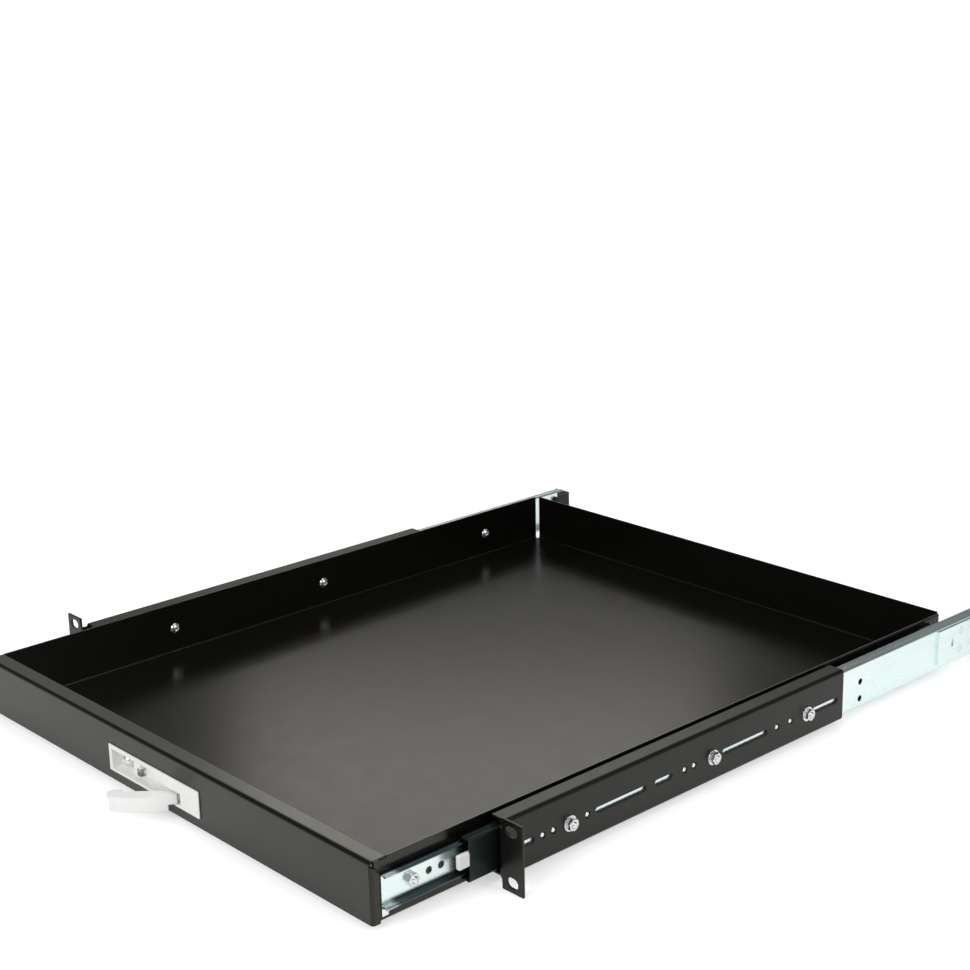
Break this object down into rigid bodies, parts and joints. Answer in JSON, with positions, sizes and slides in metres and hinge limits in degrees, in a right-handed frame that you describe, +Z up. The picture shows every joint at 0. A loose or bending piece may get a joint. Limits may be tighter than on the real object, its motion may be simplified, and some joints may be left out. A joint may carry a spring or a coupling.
{
  "type": "rack keyboard drawer",
  "caption": "Shallow black steel tray on full-extension ball slides with rack ears front and rear, and a flush handle that swings out of the front panel.",
  "frame": {"origin": "centre of the four front ear holes, on the rear face of the front ears, where they meet the rack rail", "axes": "+X to the right seen from the front, +Y to the back of the rack, +Z up; the drawer opens along -Y"},
  "size_m": [0.4826, 0.6216, 0.044],
  "materials": {
    "tray_black": "satin powder coat, warm black",
    "bracket_black": "satin black coat",
    "zinc": "bright zinc plating with a cool tint",
    "dark_zinc": "black passivated zinc plating with a blue-green tint",
    "fastener": "bright plated steel",
    "spring_steel": "spring steel strip",
    "cage_steel": "thin pressed steel",
    "ball_steel": "polished balls",
    "nylon": "white nylon",
    "rubber": "black rubber",
    "handle_plastic": "light grey moulded plastic, satin"
  },
  "bodies": {
    "rack_frame": {"outer_member_left": "zinc", "outer_member_right": "zinc", "rear_bumper_left": "rubber", "rear_bumper_right": "rubber", "front_bracket_left": "bracket_black", "front_bracket_right": "bracket_black", "bracket_screws": "fastener", "bracket_washers": "fastener", "bracket_nuts": "fastener", "rear_extension_left": "zinc", "rear_extension_right": "zinc", "extension_rivets": "fastener", "rear_ear_left": "bracket_black", "rear_ear_right": "bracket_black", "ear_rivets": "fastener"},
    "drawer": {"tray_pan": "tray_black", "front_panel": "tray_black", "tray_screws": "fastener", "tray_nuts": "fastener", "inner_member_left": "zinc", "inner_member_right": "zinc", "handle_housing": "handle_plastic", "housing_screw": "fastener", "housing_clamp": "zinc", "handle_pin": "fastener", "catch_spring": "spring_steel"},
    "handle": {"handle_paddle": "handle_plastic"},
    "middle_left": {"middle_member_left": "dark_zinc", "middle_bumper_left": "nylon"},
    "middle_right": {"middle_member_right": "dark_zinc", "middle_bumper_right": "nylon"},
    "outer_cage_left": {"outer_cage_left": "cage_steel", "outer_balls_left": "ball_steel"},
    "outer_cage_right": {"outer_cage_right": "cage_steel", "outer_balls_right": "ball_steel"},
    "inner_cage_left": {"inner_cage_left": "cage_steel", "inner_balls_left": "ball_steel"},
    "inner_cage_right": {"inner_cage_right": "cage_steel", "inner_balls_right": "ball_steel"}
  },
  "joints": [
    {"name": "drawer_slide", "type": "slide", "parent": "rack_frame", "child": "drawer", "axis": [0, -1, 0], "range_m": [-0.083, 0.397]},
    {"name": "middle_left_slide", "type": "slide", "parent": "rack_frame", "child": "middle_left", "axis": [0, -1, 0], "range_m": [-0.0415, 0.1985]},
    {"name": "middle_right_slide", "type": "slide", "parent": "rack_frame", "child": "middle_right", "axis": [0, -1, 0], "range_m": [-0.0415, 0.1985]},
    {"name": "outer_cage_left_slide", "type": "slide", "parent": "rack_frame", "child": "outer_cage_left", "axis": [0, -1, 0], "range_m": [-0.02075, 0.09925]},
    {"name": "outer_cage_right_slide", "type": "slide", "parent": "rack_frame", "child": "outer_cage_right", "axis": [0, -1, 0], "range_m": [-0.02075, 0.09925]},
    {"name": "inner_cage_left_slide", "type": "slide", "parent": "rack_frame", "child": "inner_cage_left", "axis": [0, -1, 0], "range_m": [-0.06225, 0.29775]},
    {"name": "inner_cage_right_slide", "type": "slide", "parent": "rack_frame", "child": "inner_cage_right", "axis": [0, -1, 0], "range_m": [-0.06225, 0.29775]},
    {"name": "handle_hinge", "type": "hinge", "parent": "drawer", "child": "handle", "pos_m": [0.0191, -0.0811, -0.0072], "axis": [0, 0, 1], "range_deg": [-48, 40]}
  ],
  "couplings": [
    {"joint": "middle_left_slide", "follows": "drawer_slide", "ratio": 0.5},
    {"joint": "middle_right_slide", "follows": "drawer_slide", "ratio": 0.5},
    {"joint": "outer_cage_left_slide", "follows": "drawer_slide", "ratio": 0.25},
    {"joint": "outer_cage_right_slide", "follows": "drawer_slide", "ratio": 0.25},
    {"joint": "inner_cage_left_slide", "follows": "drawer_slide", "ratio": 0.75},
    {"joint": "inner_cage_right_slide", "follows": "drawer_slide", "ratio": 0.75}
  ]
}
